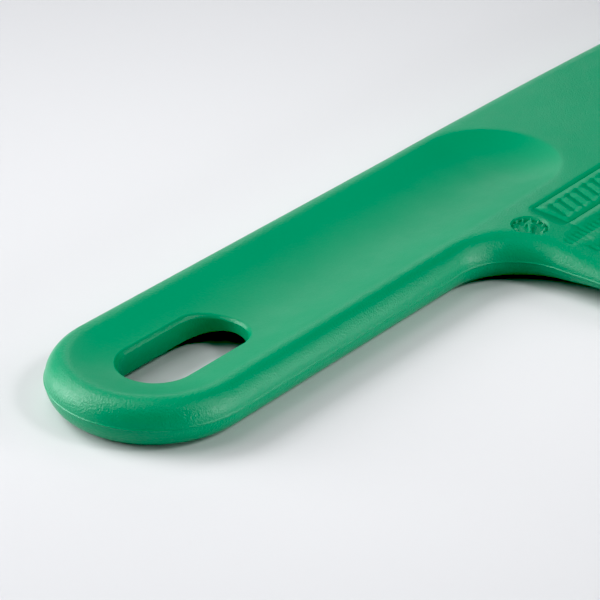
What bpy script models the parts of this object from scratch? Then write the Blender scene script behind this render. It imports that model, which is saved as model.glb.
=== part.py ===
"""One-piece moulded plastic hand spatula: a flat scooped handle with a hanging hole, and a broad blade.

Metres, +Z up. X runs along the handle towards the blade, and Y runs across it towards the straight back
edge. The origin is on the underside, on the handle's centre line, in the middle of the flat land where the
blade begins, so the tool lies on the plane z = 0. The handle is scooped from both sides, more widely on top.
"""

from math import atan, cos, hypot, pi, radians, sin, sqrt, tan

import bmesh
import bpy
from mathutils import Matrix, Vector

# Driving dimensions. A distance along X is measured from the centre of the handle's round end.
HANDLE_WIDTH = 0.0330
THICKNESS = 0.0084
SHOULDER_X = 0.0660
SHOULDER_FILLET = 0.0107
BLADE_FRONT_X = 0.1960
BLADE_WIDTH = 0.0750
HEEL_CORNER_RADIUS = 0.0080
LOWER_FRONT_RADIUS = 0.0240
UPPER_FRONT_RADIUS = 0.0120

# The blade thins from the back edge towards the lower edge, and from the land towards the front.
THIN_FROM_Y = -0.0157
THIN_WIDTH = 0.0223
THIN_SHARE = 0.40
LOWER_TAPER_FROM_Y = -0.0215
LOWER_TAPER_PER_METRE = 4.5
LAND_END_X = 0.1155
FRONT_SHARE = 0.47
FRONT_POWER = 1.5

# Each scoop's width across the handle, and its depth.
TOP_SCOOP = (0.0250, 0.0028)
UNDER_SCOOP = (0.0180, 0.0030)
TOP_SCOOP_END_X = 0.0987

HOLE_X = 0.0065
HOLE_LENGTH = 0.0239
HOLE_WIDTH = 0.0117
TOP_RIM_RADIUS = 0.0010
UNDER_RIM_RADIUS = 0.0005

STAMP_X = 0.0698
STAMP_Y = -0.0196
STAMP_DIAMETER = 0.0062
STAMP_DEPTH = 0.00035

# The stamp's arrow, as shares of the stamp's radius, and the way it points from +X.
ARROW_TIP = 0.72
ARROW_NECK = 0.22
ARROW_HEAD = 0.34
ARROW_SHAFT = 0.11
ARROW_ANGLE = radians(36)

PANEL_X = 0.0751
PANEL_Y = -0.0165
PANEL_LENGTH = 0.0300
PANEL_HEIGHT = 0.0072
PANEL_LINE = 0.0004
PANEL_DEPTH = 0.0003

# How finely the curves are cut.
ARC_STEP = radians(7.5)
EDGE_RESOLUTION = 5
SCOOP_SEGMENTS = 120
TAPER_ROWS = 6
TAPER_COLUMNS = 5
FLARE_TURNS = (0.0, radians(30), radians(60))
WELD = 0.00001
SHARP_ANGLE = radians(25)

HALF_WIDTH = HANDLE_WIDTH / 2
HALF_THICKNESS = THICKNESS / 2
LAND_X = (TOP_SCOOP_END_X + LAND_END_X) / 2
LOWER_Y = HALF_WIDTH - BLADE_WIDTH
SCOOP_RUN = TOP_SCOOP_END_X - TOP_SCOOP[0] / 2

# How far a cutter reaches past the surface that it cuts.
CLEARANCE = 0.002
FLARE_CLEARANCE = 0.0008

PLASTIC_GREEN = (0.012, 0.270, 0.125, 1.0)
PLASTIC_ROUGHNESS = 0.42


def clear_scene():
    for obj in list(bpy.data.objects):
        bpy.data.objects.remove(obj, do_unlink=True)


def new_collection(name):
    collection = bpy.data.collections.new(name)
    bpy.context.scene.collection.children.link(collection)
    return collection


def plastic():
    material = bpy.data.materials.new("green_plastic")
    material.use_nodes = True
    shader = material.node_tree.nodes["Principled BSDF"]
    shader.inputs["Base Color"].default_value = PLASTIC_GREEN
    shader.inputs["Roughness"].default_value = PLASTIC_ROUGHNESS
    shader.inputs["Metallic"].default_value = 0.0
    return material


def arc(centre_x, centre_y, radius, start, end):
    """Points on an arc from one angle to the other, both ends included."""
    steps = max(2, round(abs(end - start) / ARC_STEP))
    angles = [start + (end - start) * i / steps for i in range(steps + 1)]
    return [(centre_x + radius * cos(a), centre_y + radius * sin(a)) for a in angles]


def outline():
    """The plan of the whole tool, anticlockwise from the back edge at the handle's end."""
    fillet = SHOULDER_FILLET
    heel = HEEL_CORNER_RADIUS
    lower = LOWER_FRONT_RADIUS
    upper = UPPER_FRONT_RADIUS
    points = arc(0, 0, HALF_WIDTH, pi / 2, 3 * pi / 2)
    points += arc(SHOULDER_X - fillet, -HALF_WIDTH - fillet, fillet, pi / 2, 0)
    points += arc(SHOULDER_X + heel, LOWER_Y + heel, heel, pi, 3 * pi / 2)
    points += arc(BLADE_FRONT_X - lower, LOWER_Y + lower, lower, -pi / 2, 0)
    points += arc(BLADE_FRONT_X - upper, HALF_WIDTH - upper, upper, 0, pi / 2)
    return points


def smooth_step(value):
    value = min(1.0, max(0.0, value))
    return value * value * (3 - 2 * value)


def thickness_share(x, y):
    """How much of the full thickness is left at a place on the blade, from 0 to 1."""
    across = 1 - THIN_SHARE * smooth_step((THIN_FROM_Y - y) / THIN_WIDTH)
    across -= LOWER_TAPER_PER_METRE * max(0.0, LOWER_TAPER_FROM_Y - y)
    reach = max(0.0, x - LAND_END_X) / (BLADE_FRONT_X - LAND_END_X)
    along = 1 - FRONT_SHARE * reach ** FRONT_POWER
    return across * along


def face_height(x, y):
    return HALF_THICKNESS * thickness_share(x, y)


def face_tilt(x, y, half_span):
    """Rotation that lays a flat cutter along the upper face, which slopes only across the tool here."""
    rise = face_height(x, y + half_span) - face_height(x, y - half_span)
    return Matrix.Rotation(atan(rise / (2 * half_span)), 4, "X")


def mesh_from_curve(name, curve):
    """A closed mesh object from a filled 2D curve, with its loose caps welded on."""
    source = bpy.data.objects.new(name + "_curve", curve)
    bpy.context.scene.collection.objects.link(source)
    graph = bpy.context.evaluated_depsgraph_get()
    mesh = bpy.data.meshes.new_from_object(source.evaluated_get(graph))
    bpy.data.objects.remove(source, do_unlink=True)
    work = bmesh.new()
    work.from_mesh(mesh)
    bmesh.ops.remove_doubles(work, verts=work.verts, dist=WELD)
    bmesh.ops.recalc_face_normals(work, faces=work.faces)
    work.to_mesh(mesh)
    work.free()
    return bpy.data.objects.new(name, mesh)


def flat_curve(name, points, half_height):
    """A filled 2D curve through the points, as thick as twice half_height."""
    curve = bpy.data.curves.new(name, "CURVE")
    curve.dimensions = "2D"
    curve.fill_mode = "BOTH"
    curve.extrude = half_height
    spline = curve.splines.new("POLY")
    spline.points.add(len(points) - 1)
    for point, (x, y) in zip(spline.points, points):
        point.co = (x, y, 0, 1)
    spline.use_cyclic_u = True
    return curve


def round_edged_plate():
    """The outline at full thickness with a full-round edge, centred on z = 0."""
    curve = flat_curve("plate", outline(), 0)
    curve.bevel_depth = HALF_THICKNESS
    curve.bevel_resolution = EDGE_RESOLUTION
    curve.offset = -HALF_THICKNESS
    return mesh_from_curve("spatula_body", curve)


def taper_blade(plate):
    """Cuts the plate into rows and columns, then thins it by scaling each vertex's height."""
    rows = [THIN_FROM_Y - THIN_WIDTH * i / TAPER_ROWS for i in range(TAPER_ROWS + 1)]
    run = BLADE_FRONT_X - LAND_END_X
    columns = [LAND_END_X + run * i / TAPER_COLUMNS for i in range(TAPER_COLUMNS)]
    work = bmesh.new()
    work.from_mesh(plate.data)
    flat = [face for face in work.faces if all(abs(v.co.z) > HALF_THICKNESS - WELD for v in face.verts)]
    bmesh.ops.dissolve_faces(work, faces=flat)
    cuts = [(Vector((0, y, 0)), Vector((0, 1, 0))) for y in rows]
    cuts += [(Vector((x, 0, 0)), Vector((1, 0, 0))) for x in columns]
    for place, normal in cuts:
        everything = work.verts[:] + work.edges[:] + work.faces[:]
        bmesh.ops.bisect_plane(work, geom=everything, dist=WELD / 10, plane_co=place, plane_no=normal)
    for vertex in work.verts:
        vertex.co.z *= thickness_share(vertex.co.x, vertex.co.y)
    bmesh.ops.triangulate(work, faces=work.faces)
    work.to_mesh(plate.data)
    work.free()


def scoop_radius(scoop):
    width, depth = scoop
    return ((width / 2) ** 2 + depth ** 2) / (2 * depth)


def scoop_height(x, y, scoop):
    """Height of a scoop's floor from the middle plane, towards the face that the scoop is cut in."""
    depth = scoop[1]
    radius = scoop_radius(scoop)
    off_run = hypot(x - min(max(x, 0), SCOOP_RUN), y)
    return HALF_THICKNESS - depth + radius - sqrt(radius ** 2 - off_run ** 2)


def scoop_cutter(name, scoop, side):
    """A long capsule whose lowest part cuts the scoop: a sphere drawn out along the handle."""
    depth = scoop[1]
    radius = scoop_radius(scoop)
    mesh = bpy.data.meshes.new(name)
    work = bmesh.new()
    bmesh.ops.create_uvsphere(
        work,
        u_segments=SCOOP_SEGMENTS,
        v_segments=SCOOP_SEGMENTS // 2 + 1,
        radius=radius,
        matrix=Matrix.Rotation(pi / 2, 4, "Y"),
    )
    for vertex in work.verts:
        if vertex.co.x > 0:
            vertex.co.x += SCOOP_RUN
    work.to_mesh(mesh)
    work.free()
    cutter = bpy.data.objects.new(name, mesh)
    height = side * (HALF_THICKNESS - depth + radius)
    cutter.matrix_world = Matrix.Translation(Vector((0, 0, height)))
    return cutter


def hole_outline(grow):
    """Points round the hole's stadium, grown outwards by a distance."""
    radius = HOLE_WIDTH / 2 + grow
    half_run = (HOLE_LENGTH - HOLE_WIDTH) / 2
    points = arc(HOLE_X + half_run, 0, radius, -pi / 2, pi / 2)
    points += arc(HOLE_X - half_run, 0, radius, pi / 2, 3 * pi / 2)
    return points


def flared_rings(scoop, rim_radius):
    """Rings up the hole's wall, round its rim and on past the scoop's curved floor."""
    flare = []
    for turn in FLARE_TURNS:
        grow = rim_radius * (1 - cos(turn))
        rise = rim_radius * (sin(turn) - 1)
        flare.append((grow, rise))
    flare.append((grow + FLARE_CLEARANCE, rise + FLARE_CLEARANCE / tan(turn)))

    rings = []
    for grow, rise in flare:
        rings.append([(x, y, scoop_height(x, y, scoop) + rise) for x, y in hole_outline(grow)])
    rings.append([(x, y, THICKNESS) for x, y, z in rings[-1]])
    return rings


def hole_cutter(name):
    """A loft through the hole whose flared ends round the rims."""
    upper = flared_rings(TOP_SCOOP, TOP_RIM_RADIUS)
    lower = flared_rings(UNDER_SCOOP, UNDER_RIM_RADIUS)
    rings = [[(x, y, -z) for x, y, z in ring] for ring in reversed(lower)] + upper

    work = bmesh.new()
    loops = [[work.verts.new(point) for point in ring] for ring in rings]
    for lower, upper in zip(loops, loops[1:]):
        for i in range(len(lower)):
            j = (i + 1) % len(lower)
            work.faces.new((lower[i], lower[j], upper[j], upper[i]))
    work.faces.new(list(reversed(loops[0])))
    work.faces.new(loops[-1])
    bmesh.ops.triangulate(work, faces=work.faces)
    mesh = bpy.data.meshes.new(name)
    work.to_mesh(mesh)
    work.free()
    return bpy.data.objects.new(name, mesh)


def rectangle(length, height):
    """Corners of a rectangle centred on the origin."""
    x = length / 2
    y = height / 2
    return [(-x, -y), (x, -y), (x, y), (-x, y)]


def stamp_cutters():
    """The round date stamp's recess, and the arrow that stays standing in it."""
    radius = STAMP_DIAMETER / 2
    rim = arc(0, 0, radius, 0, 2 * pi)[:-1]
    side = [(-ARROW_TIP, -ARROW_SHAFT), (ARROW_NECK, -ARROW_SHAFT), (ARROW_NECK, -ARROW_HEAD)]
    other_side = [(x, -y) for x, y in reversed(side)]
    arrow = [(radius * x, radius * y) for x, y in side + [(ARROW_TIP, 0)] + other_side]
    return (
        mesh_from_curve("stamp_cutter", flat_curve("stamp", rim, CLEARANCE)),
        mesh_from_curve("stamp_arrow", flat_curve("arrow", arrow, 2 * CLEARANCE)),
    )


def panel_cutters():
    """The thin rectangular line of a blank name panel, and the middle that it runs round."""
    line = rectangle(PANEL_LENGTH, PANEL_HEIGHT)
    middle = rectangle(PANEL_LENGTH - 2 * PANEL_LINE, PANEL_HEIGHT - 2 * PANEL_LINE)
    return (
        mesh_from_curve("panel_cutter", flat_curve("panel", line, CLEARANCE)),
        mesh_from_curve("panel_middle", flat_curve("middle", middle, 2 * CLEARANCE)),
    )


def lay_on_face(cutter, x, y, depth, half_span, turn=0.0):
    """Sets a flat cutter so that its underside is a depth below the upper face at a place."""
    tilt = face_tilt(x, y, half_span)
    rise = tilt.to_3x3() @ Vector((0, 0, CLEARANCE - depth))
    place = Matrix.Translation(Vector((x, y, face_height(x, y))) + rise)
    cutter.matrix_world = place @ tilt @ Matrix.Rotation(turn, 4, "Z")


def boolean(obj, cutter, name):
    modifier = obj.modifiers.new(name, "BOOLEAN")
    modifier.operation = "DIFFERENCE"
    modifier.solver = "EXACT"
    modifier.object = cutter


def keep_as_cutter(cutter, collection):
    collection.objects.link(cutter)
    cutter.display_type = "WIRE"
    cutter.hide_render = True


def main():
    clear_scene()
    parts = new_collection("hand_spatula")
    cutters = new_collection("cutters")

    body = round_edged_plate()
    parts.objects.link(body)
    taper_blade(body)

    top_scoop = scoop_cutter("top_scoop_cutter", TOP_SCOOP, 1)
    under_scoop = scoop_cutter("under_scoop_cutter", UNDER_SCOOP, -1)
    hole = hole_cutter("hole_cutter")
    stamp, arrow = stamp_cutters()
    panel, middle = panel_cutters()
    helpers = (top_scoop, under_scoop, hole, stamp, arrow, panel, middle)
    for cutter in helpers:
        keep_as_cutter(cutter, cutters)
    boolean(stamp, arrow, "arrow")
    boolean(panel, middle, "middle")

    lay_on_face(stamp, STAMP_X, STAMP_Y, STAMP_DEPTH, STAMP_DIAMETER / 2)
    lay_on_face(arrow, STAMP_X, STAMP_Y, STAMP_DEPTH, STAMP_DIAMETER / 2, ARROW_ANGLE)
    for cutter in (panel, middle):
        panel_place = (PANEL_X + PANEL_LENGTH / 2, PANEL_Y - PANEL_HEIGHT / 2)
        lay_on_face(cutter, *panel_place, PANEL_DEPTH, PANEL_HEIGHT / 2)
    for name, cutter in (
        ("top_scoop", top_scoop),
        ("under_scoop", under_scoop),
        ("hanging_hole", hole),
        ("date_stamp", stamp),
        ("name_panel", panel),
    ):
        boolean(body, cutter, name)

    shift = Matrix.Translation(Vector((-LAND_X, 0, HALF_THICKNESS)))
    for obj in (body, *helpers):
        obj.matrix_world = shift @ obj.matrix_world
    body.data.materials.append(plastic())
    body.data.shade_smooth()
    body.data.set_sharp_from_angle(angle=SHARP_ANGLE)


main()
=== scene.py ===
"""Looks of the hand spatula: one green grained moulding, lying on a pale studio floor.

The CAD node is replaced by a fine mesh of the same design: smooth rounds, softly blended scoops, the
mould's parting line, the date stamp and the panel. Metres throughout. Plan coordinates have their origin
at the centre of the handle's round end, X towards the blade and Y towards the straight back edge, and
heights are taken from the middle of the thickness.
"""

from math import cos, pi, radians, sin

import bpy
import numpy as np
from mathutils import Matrix, Vector
from mathutils.geometry import delaunay_2d_cdt
from mathutils.kdtree import KDTree


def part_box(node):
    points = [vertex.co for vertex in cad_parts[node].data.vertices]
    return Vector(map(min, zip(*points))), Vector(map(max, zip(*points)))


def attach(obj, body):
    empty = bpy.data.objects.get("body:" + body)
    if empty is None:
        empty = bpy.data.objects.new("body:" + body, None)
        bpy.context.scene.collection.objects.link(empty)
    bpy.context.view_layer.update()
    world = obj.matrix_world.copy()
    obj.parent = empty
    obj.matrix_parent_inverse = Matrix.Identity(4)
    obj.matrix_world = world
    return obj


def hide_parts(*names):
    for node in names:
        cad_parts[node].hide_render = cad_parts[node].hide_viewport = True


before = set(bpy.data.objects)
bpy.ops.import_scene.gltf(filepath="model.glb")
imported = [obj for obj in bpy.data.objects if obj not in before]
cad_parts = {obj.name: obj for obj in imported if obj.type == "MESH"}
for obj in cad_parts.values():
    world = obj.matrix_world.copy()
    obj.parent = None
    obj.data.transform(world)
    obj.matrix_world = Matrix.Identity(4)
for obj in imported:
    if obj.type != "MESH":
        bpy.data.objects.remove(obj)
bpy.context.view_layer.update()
LOW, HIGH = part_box("spatula_body")

MM = 0.001

# The design's dimensions. The overall length, width and thickness come from the box of the spatula_body part
# in model.glb.
HALF_WIDTH = 16.5 * MM
HALF_THICKNESS = (HIGH.z - LOW.z) / 2
BLADE_FRONT_X = HIGH.x - LOW.x - HALF_WIDTH
LOWER_Y = LOW.y - HIGH.y + HALF_WIDTH
END_CENTRE = Vector((LOW.x + HALF_WIDTH, HIGH.y - HALF_WIDTH, LOW.z + HALF_THICKNESS))

SHOULDER_X = 66.0 * MM
SHOULDER_FILLET = 10.7 * MM
HEEL_CORNER_RADIUS = 8.0 * MM
LOWER_FRONT_RADIUS = 24.0 * MM
UPPER_FRONT_RADIUS = 12.0 * MM

THIN_FROM_Y = -15.7 * MM
THIN_WIDTH = 22.3 * MM
THIN_SHARE = 0.40
LOWER_TAPER_FROM_Y = -21.5 * MM
LOWER_TAPER_PER_METRE = 4.5
LAND_END_X = 115.5 * MM
FRONT_SHARE = 0.47
FRONT_POWER = 1.5

# Each side's scoop as its half width and depth: 1 is the upper side and -1 the lower side.
SCOOPS = {1: (12.5 * MM, 2.8 * MM), -1: (9.0 * MM, 3.0 * MM)}
SCOOP_END_X = 98.7 * MM
SCOOP_RUN = SCOOP_END_X - SCOOPS[1][0]
SOFT_RIM = 1.10 * MM
CRISP_RIM = 0.16 * MM
RIM_SOFT_UNTIL_X = 74.0 * MM
RIM_CRISP_FROM_X = 96.0 * MM

HOLE_X = 6.5 * MM
HOLE_LENGTH = 23.9 * MM
HOLE_WIDTH = 11.7 * MM
RIM_LENGTH = 0.60 * MM
RIM_TILTS = (radians(58), radians(42))
RIM_SHARES = (0.0, 0.06, 0.3, 0.55, 0.8, 1.0)
RIM_CORNER_RADIUS = 0.40 * MM
RIM_CORNER_POINTS = 8
RIM_SCALE = {1: 1.0, -1: 0.5}

PARTING_HEIGHT = 0.15 * MM
PARTING_WIDTH = 0.12 * MM

STAMP_X = 69.8 * MM
STAMP_Y = -19.6 * MM
STAMP_RADIUS = 3.1 * MM
STAMP_DEPTH = 0.60 * MM
STAMP_TICKS = 12
ARROW_ANGLE = radians(36)
# The stamp's figures, as shares of its radius.
SHAFT_HALF_LENGTH = 0.62
SHAFT_HALF_WIDTH = 0.08
HEAD_FROM = 0.15
HEAD_LENGTH = 0.55
HEAD_HALF_WIDTH = 0.30
TICK_CENTRE = 0.82
TICK_HALF_LENGTH = 0.09
TICK_HALF_WIDTH = 0.05
# How far the figures stand up from the stamp's floor, as a share of its depth.
FIGURE_RISE = 0.8

PANEL_X = 75.1 * MM
PANEL_Y = -16.5 * MM
PANEL_LENGTH = 30.0 * MM
PANEL_HEIGHT = 7.2 * MM
PANEL_LINE = 0.30 * MM
PANEL_DEPTH = 0.11 * MM
PANEL_BARS = 11
BAR_HALF_WIDTH = 0.24 * MM
BAR_SHARE = 0.27
BAR_LEAN = 0.35

# Rows of strokes as (first x, top y, height, count).
STROKE_ROWS = (
    (68.8 * MM, -25.4 * MM, 2.4 * MM, 30),
    (71.6 * MM, -30.1 * MM, 2.0 * MM, 25),
)
STROKE_PITCH = 1.25 * MM
STROKE_HALF_WIDTH = 0.17 * MM
SHORT_STROKE = 0.62
LONG_EVERY = 5
MARK_WALL = 0.08 * MM
MARK_REACH = 3 * MM

# How finely each part of the surface is cut.
EDGE_RINGS = 18
RINGS_END_ANGLE = radians(6)
PARTING_OFFSETS = (0.30 * MM, 0.20 * MM, 0.13 * MM, 0.07 * MM, 0.0)
PARTING_BAND_ANGLE = radians(8)
EDGE_STEP = 0.45 * MM
INSET_STEP = 0.04 * MM
STRAIGHT_STEP = 1.5 * MM
SCOOP_STEP = 0.80 * MM
FACE_STEP = 1.60 * MM
BAND_INSET = 3.3 * MM
RIM_INSETS = [d * MM for d in (3.55, 3.8, 4.05, 4.3, 4.8)]
HOLE_STEP = 0.35 * MM
CREASE_OFFSETS = [d * MM for d in (-1.6, -1.0, -0.6, -0.35, -0.2, -0.1, 0.0, 0.1, 0.2, 0.35, 0.6, 1.0)]
CREASE_STEP = 0.35 * MM
HOLE_RIM_OFFSETS = [d * MM for d in (0.06, 0.2, 0.45)]
MARK_STEP = 0.22 * MM
STAMP_RINGS_FROM = 0.10 * MM
STAMP_RING_STEP = 0.12 * MM
STAMP_ARC_STEP = 0.13 * MM

# The room that each set of a face's points needs round it, the last as a share of a grid's step.
MARK_ROOM = 0.06 * MM
HOLE_RIM_ROOM = 0.03 * MM
CREASE_ROOM = 0.10 * MM
EDGE_RIM_ROOM = 0.12 * MM
GRID_ROOM = 0.55

# The plastic and its grain.
GREEN = (0.0105, 0.295, 0.137, 1.0)
GREEN_DEEP = (0.0085, 0.280, 0.129, 1.0)
GREEN_PALE = (0.019, 0.314, 0.151, 1.0)
OUTER_ROUGHNESS = 0.31
SCOOP_ROUGHNESS = 0.42
GRAIN_DEPTH = 0.095 * MM
WAVE_DEPTH = 0.012 * MM
PEBBLE_SIZE = 0.40 * MM
PEBBLE_SHARE = 0.35
FINE_SIZE = 0.28 * MM
WAVE_SIZE = 2.5 * MM
FLOW_SIZE = 22 * MM
SPECKLE_SIZE = 0.5 * MM
SPECKLE_SHARE = 0.30
SHEEN_SIZE = 6 * MM
SHEEN_SPREAD = 0.03
PLASTIC_IOR = 1.49

# The grain's strength on the scoop and on the flats, full strength being 1 round the edge. It changes over
# twice SCOOP_FADE at the scoop's rim, over HOLE_FADE at the hole, and as the height nears its most on a flat.
SCOOP_GRAIN = 0.25
FLAT_GRAIN = 0.55
SCOOP_FADE = 1.0 * MM
HOLE_FADE = 0.1 * MM
FLAT_FROM = 0.93
FLAT_FADE = 0.06
SCOOP_GLOSS = 0.36
OUTER_GLOSS = 0.42

# The studio. The floor carries a painted pool of light: its colour darkens away from its brightest point,
# which is measured from END_CENTRE.
FLOOR_REACH = 1.1
FLOOR_COLOUR = (0.805, 0.812, 0.834, 1.0)
FLOOR_COLOUR_TWO = (0.792, 0.799, 0.821, 1.0)
# The floor's far colour is the dim end of its painted pool of light.
FLOOR_COLOUR_PAINTED_DIM = (0.635, 0.642, 0.664, 1.0)
FLOOR_PAINTED_FALLOFF = (30 * MM, 150 * MM)
FLOOR_MOTTLE = 90 * MM
FLOOR_ROUGHNESS = 0.75
FLOOR_GLOSS = 0.2
FLOOR_PAINTED_LIGHT_CENTRE = (70 * MM, -15 * MM, -HALF_THICKNESS)
BACKDROP = (0.78, 0.79, 0.82, 1.0)
BLACK_POINT = 0.035

# Soft boxes as (name, bearing and elevation in degrees, distance, width, height, watts).
LAMPS = (
    ("left_low_box", -154, 8, 1.3, 0.65, 0.36, 7.6),
    ("left_box", -150, 24, 1.3, 0.55, 0.36, 4.8),
    ("back_left_box", -168, 44, 1.3, 0.65, 0.40, 7.6),
    ("near_left_box", -130, 22, 0.45, 0.22, 0.16, 0.46),
    ("near_top_box", -130, 46, 0.45, 0.22, 0.20, 0.32),
    ("top_box", -120, 76, 0.45, 0.24, 0.24, 0.36),
    ("front_box", -65, 46, 0.45, 0.20, 0.20, 0.09),
    ("right_low_box", 20, 8, 1.3, 0.65, 0.30, 9.4),
    ("right_box", 12, 46, 1.3, 0.36, 0.24, 4.2),
    ("right_mid_box", 44, 27, 1.3, 0.50, 0.20, 1.9),
    ("back_box", 124, 42, 1.3, 0.65, 0.40, 0.9),
    ("back_low_box", 134, 18, 1.3, 0.65, 0.40, 1.2),
)

# The camera, with its aim and distance in handle half-widths.
CAMERA_AZIMUTH = radians(-51.601)
CAMERA_ELEVATION = radians(27.845)
CAMERA_ROLL = radians(0.206)
CAMERA_AIM = (1.935, -0.124, 0.0)
CAMERA_DISTANCE = 24.952
CAMERA_SENSOR = 36.0
CAMERA_LENS = 157.67


def smooth_step(value):
    """A smooth rise from 0 to 1."""
    value = np.clip(value, 0.0, 1.0)
    return value * value * (3 - 2 * value)


# ---------------------------------------------------------------- plan


def arc(centre_x, centre_y, radius, start, end, step, hollow=False):
    """Points along an arc and their normals, which point out of the material."""
    count = max(2, round(abs(end - start) * radius / step)) + 1
    angles = np.linspace(start, end, count)
    away = np.column_stack([np.cos(angles), np.sin(angles)])
    return np.array([centre_x, centre_y]) + radius * away, -away if hollow else away


def joined(stretches, step):
    """A closed outline from its arcs, with evenly spaced points on the straight runs between them."""
    points = []
    normals = []
    for (here, here_normals), (after, _) in zip(stretches, stretches[1:] + stretches[:1]):
        points.append(here)
        normals.append(here_normals)
        run = after[0] - here[-1]
        length = np.linalg.norm(run)
        inner = max(1, round(length / step)) - 1
        if length < step / 2 or inner < 1:
            continue
        shares = np.arange(1, inner + 1) / (inner + 1)
        points.append(here[-1] + shares[:, None] * run)
        side = np.array([run[1], -run[0]]) / length
        normals.append(np.tile(side, (inner, 1)))
    return np.concatenate(points), np.concatenate(normals)


def outline(step, straight_step):
    """The plan of the tool, anticlockwise from the back edge at the handle's end."""
    stretches = [
        arc(0, 0, HALF_WIDTH, pi / 2, 3 * pi / 2, step),
        arc(
            SHOULDER_X - SHOULDER_FILLET, -HALF_WIDTH - SHOULDER_FILLET,
            SHOULDER_FILLET, pi / 2, 0, step, hollow=True,
        ),
        arc(
            SHOULDER_X + HEEL_CORNER_RADIUS, LOWER_Y + HEEL_CORNER_RADIUS,
            HEEL_CORNER_RADIUS, pi, 3 * pi / 2, step,
        ),
        arc(
            BLADE_FRONT_X - LOWER_FRONT_RADIUS, LOWER_Y + LOWER_FRONT_RADIUS,
            LOWER_FRONT_RADIUS, -pi / 2, 0, step,
        ),
        arc(
            BLADE_FRONT_X - UPPER_FRONT_RADIUS, HALF_WIDTH - UPPER_FRONT_RADIUS,
            UPPER_FRONT_RADIUS, 0, pi / 2, step,
        ),
    ]
    return joined(stretches, straight_step)


def stadium(half_run, radius, centre_x, step):
    """Points and outward normals round a stadium that lies along X."""
    stretches = [
        arc(centre_x + half_run, 0, radius, -pi / 2, pi / 2, step),
        arc(centre_x - half_run, 0, radius, pi / 2, 3 * pi / 2, step),
    ]
    return joined(stretches, step)


def hole_distance(x, y):
    """Distance outwards from the hole's wall, negative inside the hole."""
    half_run = (HOLE_LENGTH - HOLE_WIDTH) / 2
    along = x - np.clip(x, HOLE_X - half_run, HOLE_X + half_run)
    return np.hypot(along, y) - HOLE_WIDTH / 2


def scoop_distance(x, y):
    """Distance from the line that the scoop runs along."""
    return np.hypot(x - np.clip(x, 0, SCOOP_RUN), y)


# ---------------------------------------------------------------- heights


def thickness_share(x, y):
    """The thickness at a place as a share of the handle's, thinning to the blade's lower edge and front."""
    across = 1 - THIN_SHARE * smooth_step((THIN_FROM_Y - y) / THIN_WIDTH)
    across = across - LOWER_TAPER_PER_METRE * np.maximum(0.0, LOWER_TAPER_FROM_Y - y)
    reach = np.maximum(0.0, x - LAND_END_X) / (BLADE_FRONT_X - LAND_END_X)
    return across * (1 - FRONT_SHARE * reach**FRONT_POWER)


def body_height(x, y, inset):
    """Half the thickness at a place, falling as a quarter round to nothing at the outline."""
    short = HALF_THICKNESS - np.clip(inset, 0, HALF_THICKNESS)
    return thickness_share(x, y) * np.sqrt(np.maximum(0, HALF_THICKNESS**2 - short**2))


def scoop_floor(x, y, side):
    """Height of the scoop's floor from the middle, on the upper side (1) or the lower side (-1)."""
    half_width, depth = SCOOPS[side]
    radius = (half_width**2 + depth**2) / (2 * depth)
    across = np.minimum(scoop_distance(x, y), 0.9 * radius)
    return HALF_THICKNESS - depth + radius - np.sqrt(radius**2 - across**2)


def face_height(x, y, inset, side):
    """The blade or handle face with the scoop sunk into it and the rim between them rounded over."""
    body = body_height(x, y, inset)
    floor = scoop_floor(x, y, side)
    crisp = smooth_step((x - RIM_SOFT_UNTIL_X) / (RIM_CRISP_FROM_X - RIM_SOFT_UNTIL_X))
    rim = SOFT_RIM + (CRISP_RIM - SOFT_RIM) * crisp
    return 0.5 * (body + floor - np.sqrt((body - floor) ** 2 + rim**2))


# ---------------------------------------------------------------- marks


def box_distance(x, y, centre_x, centre_y, half_x, half_y, lean=0.0):
    """Signed distance to a rectangle whose upright sides may lean."""
    across = np.abs(x - centre_x - lean * (y - centre_y)) - half_x
    along = np.abs(y - centre_y) - half_y
    outside = np.hypot(np.maximum(across, 0), np.maximum(along, 0))
    return outside + np.minimum(np.maximum(across, along), 0)


def sunk(distance, depth):
    """How deep a mark is cut, from its full depth inside to nothing outside."""
    return depth * smooth_step(0.5 - distance / MARK_WALL)


def stamp_depth(x, y):
    """A round sunk disc with a standing arrow and a ring of short ticks, like the face of a clock."""
    away_x = x - STAMP_X
    away_y = y - STAMP_Y
    radius = np.hypot(away_x, away_y)
    along = away_x * cos(ARROW_ANGLE) + away_y * sin(ARROW_ANGLE)
    across = -away_x * sin(ARROW_ANGLE) + away_y * cos(ARROW_ANGLE)
    shaft = box_distance(
        along, across, 0, 0, SHAFT_HALF_LENGTH * STAMP_RADIUS, SHAFT_HALF_WIDTH * STAMP_RADIUS
    )
    head_reach = (along - HEAD_FROM * STAMP_RADIUS) / (HEAD_LENGTH * STAMP_RADIUS)
    head = np.maximum(
        np.abs(across) - HEAD_HALF_WIDTH * STAMP_RADIUS * (1 - head_reach),
        -along + HEAD_FROM * STAMP_RADIUS,
    )
    standing = np.minimum(shaft, head)
    turn = 2 * pi / STAMP_TICKS
    nearest = np.round(np.arctan2(away_y, away_x) / turn) * turn
    tick_along = away_x * np.cos(nearest) + away_y * np.sin(nearest)
    tick_across = -away_x * np.sin(nearest) + away_y * np.cos(nearest)
    tick = box_distance(
        tick_along, tick_across, TICK_CENTRE * STAMP_RADIUS, 0,
        TICK_HALF_LENGTH * STAMP_RADIUS, TICK_HALF_WIDTH * STAMP_RADIUS,
    )
    standing = np.minimum(standing, tick)
    return sunk(radius - STAMP_RADIUS, STAMP_DEPTH) - FIGURE_RISE * sunk(standing, STAMP_DEPTH)


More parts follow.
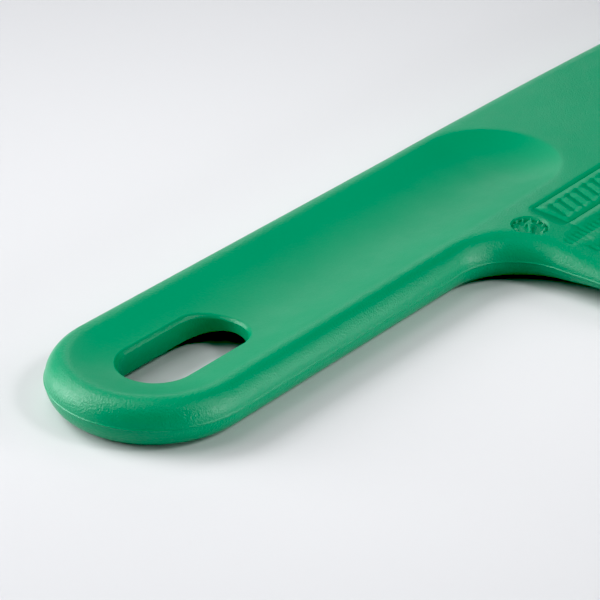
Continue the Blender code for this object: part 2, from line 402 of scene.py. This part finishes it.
def panel_boxes():
    """Each rectangle of the blank panel as (centre x, centre y, half length, half height, lean)."""
    centre_x = PANEL_X + PANEL_LENGTH / 2
    centre_y = PANEL_Y - PANEL_HEIGHT / 2
    boxes = [(centre_x, centre_y, PANEL_LENGTH / 2, PANEL_HEIGHT / 2, 0.0)]
    boxes.append((centre_x, centre_y, PANEL_LENGTH / 2 - PANEL_LINE, PANEL_HEIGHT / 2 - PANEL_LINE, 0.0))
    pitch = PANEL_LENGTH / (PANEL_BARS + 1)
    for i in range(PANEL_BARS):
        bar_x = PANEL_X + pitch * (i + 1)
        boxes.append((bar_x, centre_y, BAR_HALF_WIDTH, PANEL_HEIGHT * BAR_SHARE, BAR_LEAN))
    return boxes


def stroke_rows():
    """Two rows of plain upright strokes, like the divisions of a scale."""
    strokes = []
    for start_x, top_y, height, count in STROKE_ROWS:
        for i in range(count):
            reach = height if i % LONG_EVERY == 0 else SHORT_STROKE * height
            middle_y = top_y - height + reach / 2
            strokes.append((start_x + STROKE_PITCH * i, middle_y, STROKE_HALF_WIDTH, reach / 2, 0.0))
    return strokes


def marks_depth(x, y):
    """How deep the stamp, the panel's line, its bars and the strokes are cut at a place."""
    outer, inner, *bars = panel_boxes()
    depth = stamp_depth(x, y)
    depth = depth + sunk(box_distance(x, y, *outer), PANEL_DEPTH)
    depth = depth - sunk(box_distance(x, y, *inner), PANEL_DEPTH)
    for mark in bars + stroke_rows():
        near = np.abs(x - mark[0]) < MARK_REACH
        depth[near] += sunk(box_distance(x[near], y[near], *mark), PANEL_DEPTH)
    return depth


# ---------------------------------------------------------------- mesh


def edge_turns():
    """Angles round the edge from the upper face to the lower one, closest at the parting line."""
    top = np.arccos(1 - BAND_INSET / HALF_THICKNESS)
    turns = list(np.linspace(top, RINGS_END_ANGLE, EDGE_RINGS))
    turns += [offset / HALF_THICKNESS for offset in PARTING_OFFSETS]
    return np.array(turns + [-turn for turn in reversed(turns[:-1])])


def edge_band(points, normals):
    """Rings of points round the edge, each ring at one angle."""
    rings = []
    for turn in edge_turns():
        inset = HALF_THICKNESS * (1 - cos(turn))
        plan = points - normals * inset
        x, y = plan[:, 0], plan[:, 1]
        side = 1 if turn > 0 else -1
        height = side * face_height(x, y, np.full(len(x), inset), side)
        if abs(turn) < PARTING_BAND_ANGLE:
            height = thickness_share(x, y) * HALF_THICKNESS * sin(turn)
            ridge = PARTING_HEIGHT * np.exp(-((height / PARTING_WIDTH) ** 2))
            plan = plan + normals * ridge[:, None]
        rings.append(np.column_stack([plan, height]))
    return rings


def hole_rim(side):
    """The hole's rim in section, as (reach out from the wall, drop below the scoop).

    It breaks away from the scoop's floor at a crease, curves gently down and then turns sharply
    into the wall.
    """
    shares = np.array(RIM_SHARES)
    slope = RIM_TILTS[0] + (RIM_TILTS[1] - RIM_TILTS[0]) * shares
    corner = np.linspace(RIM_TILTS[1], 0, RIM_CORNER_POINTS)
    tilts = np.concatenate([slope, corner[1:]])
    lengths = np.concatenate([RIM_LENGTH * np.diff(shares), -RIM_CORNER_RADIUS * np.diff(corner)])
    middles = (tilts[:-1] + tilts[1:]) / 2
    reach = np.append(np.cumsum((lengths * np.sin(middles))[::-1])[::-1], 0.0)
    drop = np.append(0.0, np.cumsum(lengths * np.cos(middles)))
    return RIM_SCALE[side] * np.column_stack([reach, drop])


def rim_reach(side):
    """How far the hole's rim reaches out from its wall."""
    return hole_rim(side)[0, 0]


def hole_half_band(side):
    """Rings from one scoop's floor down the hole's rim and on to its wall."""
    half_run = (HOLE_LENGTH - HOLE_WIDTH) / 2
    base, normals = stadium(half_run, HOLE_WIDTH / 2, HOLE_X, HOLE_STEP)
    rings = []
    for reach, drop in hole_rim(side):
        plan = base + normals * reach
        height = face_height(plan[:, 0], plan[:, 1], np.full(len(plan), HALF_THICKNESS), side) - drop
        rings.append(np.column_stack([plan, side * height]))
    return rings


def hole_band():
    """Rings of points down through the hanging hole, rounded into the scoop at each end."""
    return hole_half_band(1) + hole_half_band(-1)[::-1]


def within(points, others, distance):
    """Which points lie nearer than a distance to any of the others."""
    if not len(others):
        return np.zeros(len(points), bool)
    tree = KDTree(len(others))
    for i, (x, y) in enumerate(others):
        tree.insert((x, y, 0), i)
    tree.balance()
    return np.array([tree.find((x, y, 0))[2] < distance for x, y in points])


def inset_of(points, outline_points):
    """Distance of each point from the outline."""
    tree = KDTree(len(outline_points))
    for i, (x, y) in enumerate(outline_points):
        tree.insert((x, y, 0), i)
    tree.balance()
    return np.array([tree.find((x, y, 0))[2] for x, y in points])


def inside(points, loop):
    """Which points lie inside a closed loop."""
    x, y = points[:, 0], points[:, 1]
    found = np.zeros(len(points), bool)
    for (ax, ay), (bx, by) in zip(loop, np.roll(loop, -1, axis=0)):
        if ay == by:
            continue
        crosses = (ay > y) != (by > y)
        found ^= crosses & (x < (bx - ax) * (y - ay) / (by - ay) + ax)
    return found


def grid(low_x, high_x, low_y, high_y, step):
    across = np.arange(low_x, high_x + step, step)
    along = np.arange(low_y, high_y + step, step)
    x, y = np.meshgrid(across, along)
    return np.column_stack([x.ravel(), y.ravel()])


def crease_points(side):
    """Loops of points to either side of the scoop's rim."""
    half_width, _ = SCOOPS[side]
    loops = []
    for offset in CREASE_OFFSETS:
        loops.append(stadium(SCOOP_RUN / 2, half_width + offset, SCOOP_RUN / 2, CREASE_STEP)[0])
    return np.concatenate(loops)


def hole_rim_points(side):
    """Rings just outside the hole's rim, so that its crease stays sharp."""
    half_run = (HOLE_LENGTH - HOLE_WIDTH) / 2
    radius = HOLE_WIDTH / 2 + rim_reach(side)
    loops = [stadium(half_run, radius + offset, HOLE_X, HOLE_STEP)[0] for offset in HOLE_RIM_OFFSETS]
    return np.concatenate(loops)


def box_loop(mark, grow):
    """Points round a mark's rectangle, grown outwards."""
    centre_x, centre_y, half_x, half_y, lean = mark
    half_x += grow
    half_y += grow
    corners = np.array([(-half_x, -half_y), (half_x, -half_y), (half_x, half_y), (-half_x, half_y)])
    points = []
    for here, after in zip(corners, np.roll(corners, -1, axis=0)):
        count = max(1, round(np.linalg.norm(after - here) / MARK_STEP))
        points.append(here + (np.arange(count) / count)[:, None] * (after - here))
    points = np.concatenate(points)
    return np.column_stack([centre_x + points[:, 0] + lean * points[:, 1], centre_y + points[:, 1]])


def mark_points():
    """Points along both lips of each mark's wall, and a fine polar web over the stamp."""
    half_wall = MARK_WALL / 2
    loops = []
    for mark in panel_boxes() + stroke_rows():
        loops.append(box_loop(mark, half_wall))
        loops.append(box_loop(mark, -half_wall))
    rings = list(np.arange(STAMP_RINGS_FROM, STAMP_RADIUS - half_wall, STAMP_RING_STEP))
    rings += [STAMP_RADIUS - half_wall, STAMP_RADIUS + half_wall, STAMP_RADIUS + 3 * half_wall]
    for radius in rings:
        loops.append(arc(STAMP_X, STAMP_Y, radius, 0, 2 * pi, STAMP_ARC_STEP)[0][:-1])
    return np.concatenate(loops)


def rim_points(points, normals):
    """Points on lines along the edge, where its round runs out into the flat face."""
    return np.concatenate([points - normals * inset for inset in RIM_INSETS])


def face_points(border, hole_border, side, sets):
    """Points inside a face from sets of (points, room), each kept where it has room among those before."""
    kept = np.concatenate([border, hole_border])
    inner = np.zeros((0, 2))
    for points, room in sets:
        usable = inside(points, border) & (hole_distance(points[:, 0], points[:, 1]) > rim_reach(side))
        points = points[usable]
        points = points[~within(points, kept, room)]
        kept = np.concatenate([kept, points])
        inner = np.concatenate([inner, points])
    return inner


def triangulated(border, hole_border, inner):
    """Triangles of a face as indices into border, hole border and inner points, one after another."""
    points = np.concatenate([border, hole_border, inner])
    scale = 1 / MM
    rims = [(i, (i + 1) % len(border)) for i in range(len(border))]
    first = len(border)
    count = len(hole_border)
    rims += [(first + i, first + (i + 1) % count) for i in range(count)]
    result = delaunay_2d_cdt([Vector(point * scale) for point in points], rims, [], 1, 1e-6)
    faces, origins = result[2], result[3]
    source = [origin[0] for origin in origins]
    kept = []
    for face in faces:
        face = [source[i] for i in face]
        if not all(first <= i < first + count for i in face):
            kept.append(face)
    return kept


def moulding_mesh():
    """The whole tool as one closed mesh."""
    points, normals = outline(EDGE_STEP, STRAIGHT_STEP)
    fine_outline = outline(INSET_STEP, INSET_STEP)[0]
    edge = edge_band(points, normals)
    hole = hole_band()
    around, through = len(points), len(hole[0])
    vertices = np.concatenate(edge + hole)
    faces = []

    def ring_faces(first, count, ring_count, outward):
        for ring in range(ring_count - 1):
            upper = first + ring * count
            lower = upper + count
            for i in range(count):
                j = (i + 1) % count
                face = (upper + i, lower + i, lower + j, upper + j)
                faces.append(face if outward else face[::-1])

    hole_first = len(edge) * around
    ring_faces(0, around, len(edge), True)
    ring_faces(hole_first, through, len(hole), False)

    half_width, _ = SCOOPS[1]
    shared_sets = [
        (rim_points(points, normals), EDGE_RIM_ROOM),
        (grid(-half_width, SCOOP_END_X, -half_width, half_width, SCOOP_STEP), GRID_ROOM * SCOOP_STEP),
        (grid(-HALF_WIDTH, BLADE_FRONT_X, LOWER_Y, HALF_WIDTH, FACE_STEP), GRID_ROOM * FACE_STEP),
    ]
    for side in (1, -1):
        edge_ring = 0 if side > 0 else len(edge) - 1
        hole_ring = 0 if side > 0 else len(hole) - 1
        border = edge[edge_ring][:, :2]
        hole_border = hole[hole_ring][:, :2]
        sets = [(mark_points(), MARK_ROOM)] if side > 0 else []
        sets += [(hole_rim_points(side), HOLE_RIM_ROOM), (crease_points(side), CREASE_ROOM)]
        sets += shared_sets
        inner = face_points(border, hole_border, side, sets)
        x, y = inner[:, 0], inner[:, 1]
        height = face_height(x, y, inset_of(inner, fine_outline), side)
        if side > 0:
            height = height - marks_depth(x, y)
        inner_first = len(vertices)
        vertices = np.concatenate([vertices, np.column_stack([inner, side * height])])
        index = [edge_ring * around + i for i in range(around)]
        index += [hole_first + hole_ring * through + i for i in range(through)]
        index += list(range(inner_first, len(vertices)))
        for face in triangulated(border, hole_border, inner):
            face = [index[i] for i in face]
            faces.append(face if side > 0 else face[::-1])

    mesh = bpy.data.meshes.new("spatula_moulding")
    mesh.from_pydata((vertices + np.array(END_CENTRE)).tolist(), [], faces)
    mesh.validate()
    mesh.shade_smooth()
    return mesh


def grain_strength(x, y, z):
    """How strong the moulded grain is: full round the edge, softer on the flats and weakest in the scoops."""
    edge = smooth_step((scoop_distance(x, y) - SCOOPS[1][0] + SCOOP_FADE) / (2 * SCOOP_FADE))
    edge = np.maximum(edge, smooth_step((rim_reach(1) - hole_distance(x, y)) / HOLE_FADE))
    height = np.abs(z) / (HALF_THICKNESS * thickness_share(x, y))
    flat = smooth_step((height - FLAT_FROM) / FLAT_FADE)
    outside = 1 - (1 - FLAT_GRAIN) * flat
    return SCOOP_GRAIN + (outside - SCOOP_GRAIN) * edge


def spatula():
    """The finished tool, with the grain's strength kept at each point of its mesh."""
    mesh = moulding_mesh()
    piece = bpy.data.objects.new("spatula_moulding", mesh)
    bpy.context.scene.collection.objects.link(piece)
    places = np.empty(len(mesh.vertices) * 3, np.float32)
    mesh.vertices.foreach_get("co", places)
    places = places.reshape(-1, 3) - np.array(END_CENTRE, np.float32)
    grain = mesh.attributes.new("grain", "FLOAT", "POINT")
    grain.data.foreach_set("value", grain_strength(*places.T).astype(np.float32))
    mesh.materials.append(green_plastic())
    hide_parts("spatula_body")
    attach(piece, "root")
    return piece


# ---------------------------------------------------------------- materials


class Nodes:
    """A short way to add shader nodes and join them up."""

    def __init__(self, name):
        self.material = bpy.data.materials.new(name)
        self.material.use_nodes = True
        self.tree = self.material.node_tree
        self.shader = self.tree.nodes["Principled BSDF"]

    def add(self, kind, inputs=None, **settings):
        node = self.tree.nodes.new(kind)
        for name, value in settings.items():
            setattr(node, name, value)
        for name, value in (inputs or {}).items():
            self.feed(node, name, value)
        return node

    def feed(self, node, name, value):
        socket = node.inputs[name]
        if isinstance(value, bpy.types.NodeSocket):
            self.tree.links.new(value, socket)
        else:
            socket.default_value = value

    def maths(self, operation, first, second):
        return self.add("ShaderNodeMath", {0: first, 1: second}, operation=operation).outputs[0]

    def noise(self, place, size, detail=2.0, roughness=0.5):
        node = self.add(
            "ShaderNodeTexNoise",
            {"Vector": place, "Scale": 1 / size, "Detail": detail, "Roughness": roughness},
        )
        return node.outputs["Fac"]

    def cells(self, place, size, feature="F1"):
        node = self.add("ShaderNodeTexVoronoi", {"Vector": place, "Scale": 1 / size}, feature=feature)
        return node.outputs["Distance"]

    def ranged(self, value, from_low, from_high, to_low, to_high):
        node = self.add(
            "ShaderNodeMapRange",
            {
                "Value": value,
                "From Min": from_low,
                "From Max": from_high,
                "To Min": to_low,
                "To Max": to_high,
            },
        )
        return node.outputs["Result"]

    def mix(self, share, first, second):
        node = self.add("ShaderNodeMix", {0: share, 6: first, 7: second}, data_type="RGBA")
        return node.outputs[2]


def green_plastic():
    """Satin moulded plastic with a fine leather grain, faint flow mottling and a duller, smoother scoop."""
    nodes = Nodes("green_plastic")
    place = nodes.add("ShaderNodeTexCoord").outputs["Object"]
    strength = nodes.add("ShaderNodeAttribute", attribute_name="grain").outputs["Fac"]

    pebbles = nodes.cells(place, PEBBLE_SIZE, "SMOOTH_F1")
    fine = nodes.noise(place, FINE_SIZE, 2.0, 0.6)
    uneven = nodes.noise(place, WAVE_SIZE, 3.0, 0.5)
    grain = nodes.maths("ADD", nodes.maths("MULTIPLY", pebbles, PEBBLE_SHARE), fine)
    grain = nodes.maths("MULTIPLY", grain, strength)
    grain_bump = nodes.add(
        "ShaderNodeBump", {"Strength": 1.0, "Distance": GRAIN_DEPTH, "Height": grain}
    ).outputs["Normal"]
    bump = nodes.add(
        "ShaderNodeBump",
        {"Strength": 1.0, "Distance": WAVE_DEPTH, "Height": uneven, "Normal": grain_bump},
    ).outputs["Normal"]

    flow = nodes.noise(place, FLOW_SIZE, 3.0, 0.5)
    speckle = nodes.noise(place, SPECKLE_SIZE, 2.0, 0.6)
    colour = nodes.mix(nodes.ranged(flow, 0.35, 0.65, 0, 1), GREEN_DEEP, GREEN)
    colour = nodes.mix(nodes.ranged(speckle, 0.3, 0.7, 0.0, SPECKLE_SHARE), colour, GREEN_PALE)

    sheen = nodes.noise(place, SHEEN_SIZE, 3.0, 0.6)
    roughness = nodes.ranged(strength, SCOOP_GRAIN, 1, SCOOP_ROUGHNESS, OUTER_ROUGHNESS)
    spread = nodes.ranged(sheen, 0.3, 0.7, -SHEEN_SPREAD, SHEEN_SPREAD)
    roughness = nodes.maths("ADD", roughness, spread)
    gloss = nodes.ranged(strength, SCOOP_GRAIN, 1, SCOOP_GLOSS, OUTER_GLOSS)

    nodes.feed(nodes.shader, "Base Color", colour)
    nodes.feed(nodes.shader, "Roughness", roughness)
    nodes.feed(nodes.shader, "Normal", bump)
    nodes.feed(nodes.shader, "IOR", PLASTIC_IOR)
    nodes.feed(nodes.shader, "Specular IOR Level", gloss)
    return nodes.material


def studio_floor():
    """A pale matt floor with a painted pool of light, brightest beside the tool and painted darker away from
    it.
    """
    nodes = Nodes("studio_floor")
    place = nodes.add("ShaderNodeTexCoord").outputs["Object"]
    tone = nodes.ranged(nodes.noise(place, FLOOR_MOTTLE, 3.0, 0.5), 0.3, 0.7, 0, 1)
    # Painted light: the floor's colour darkens with distance from one point beside the tool, standing in for
    # light falling off.
    middle = END_CENTRE + Vector(FLOOR_PAINTED_LIGHT_CENTRE)
    away = nodes.add("ShaderNodeVectorMath", {0: place, 1: middle}, operation="DISTANCE")
    painted_falloff = nodes.ranged(away.outputs["Value"], *FLOOR_PAINTED_FALLOFF, 0, 1)
    colour = nodes.mix(tone, FLOOR_COLOUR, FLOOR_COLOUR_TWO)
    nodes.feed(nodes.shader, "Base Color", nodes.mix(painted_falloff, colour, FLOOR_COLOUR_PAINTED_DIM))
    nodes.feed(nodes.shader, "Roughness", FLOOR_ROUGHNESS)
    nodes.feed(nodes.shader, "Specular IOR Level", FLOOR_GLOSS)
    return nodes.material


# ---------------------------------------------------------------- studio


def floor():
    """A square floor that reaches about as far as the lamps, as it would be unlit beyond them."""
    mesh = bpy.data.meshes.new("floor")
    reach = FLOOR_REACH
    corners = [(x, y, LOW.z) for x, y in ((-reach, -reach), (reach, -reach), (reach, reach), (-reach, reach))]
    mesh.from_pydata(corners, [], [(0, 1, 2, 3)])
    mesh.materials.append(studio_floor())
    plane = bpy.data.objects.new("floor", mesh)
    bpy.context.scene.collection.objects.link(plane)


def frame_axes(azimuth, elevation, roll=0.0):
    """Right, up and backward directions of a camera or lamp that looks from a bearing towards the object."""
    back = Vector((sin(azimuth) * cos(elevation), -cos(azimuth) * cos(elevation), sin(elevation)))
    right = Vector((0, 0, 1)).cross(back).normalized()
    up = back.cross(right)
    return cos(roll) * right + sin(roll) * up, cos(roll) * up - sin(roll) * right, back


def placed(name, data, place, axes):
    obj = bpy.data.objects.new(name, data)
    bpy.context.scene.collection.objects.link(obj)
    matrix = Matrix(axes).transposed().to_4x4()
    matrix.translation = place
    obj.matrix_world = matrix
    return obj


def camera():
    """A long lens, close in over the handle's end, so that the blade runs out past the picture's edge."""
    data = bpy.data.cameras.new("camera")
    data.sensor_width = CAMERA_SENSOR
    data.lens = CAMERA_LENS
    data.clip_start = 10 * MM
    axes = frame_axes(CAMERA_AZIMUTH, CAMERA_ELEVATION, CAMERA_ROLL)
    target = END_CENTRE + HALF_WIDTH * Vector(CAMERA_AIM)
    bpy.context.scene.camera = placed("camera", data, target + CAMERA_DISTANCE * HALF_WIDTH * axes[2], axes)


def lamp(name, azimuth, elevation, distance, width, height, strength):
    """A soft box of even brightness that faces the middle of the handle."""
    data = bpy.data.lights.new(name, "AREA")
    data.shape = "RECTANGLE"
    data.size = width
    data.size_y = height
    data.energy = strength
    axes = frame_axes(radians(azimuth), radians(elevation))
    middle = END_CENTRE + Vector((SHOULDER_X / 2, 0, 0))
    placed(name, data, middle + distance * axes[2], axes).visible_camera = False


def backdrop():
    """A pale backdrop that the camera sees and that gives no light of its own."""
    world = bpy.data.worlds.new("studio")
    world.use_nodes = True
    tree = world.node_tree
    background = tree.nodes["Background"]
    background.inputs["Color"].default_value = BACKDROP
    path = tree.nodes.new("ShaderNodeLightPath")
    tree.links.new(path.outputs["Is Camera Ray"], background.inputs["Strength"])
    bpy.context.scene.world = world


def camera_response():
    """A plain response whose darkest tones close up, as in a contrasty studio picture."""
    view = bpy.context.scene.view_settings
    view.view_transform = "Standard"
    view.use_curve_mapping = True
    view.curve_mapping.black_level = (BLACK_POINT, BLACK_POINT, BLACK_POINT)
    view.curve_mapping.update()


def main():
    spatula()
    floor()
    camera()
    backdrop()
    for settings in LAMPS:
        lamp(*settings)
    camera_response()


main()
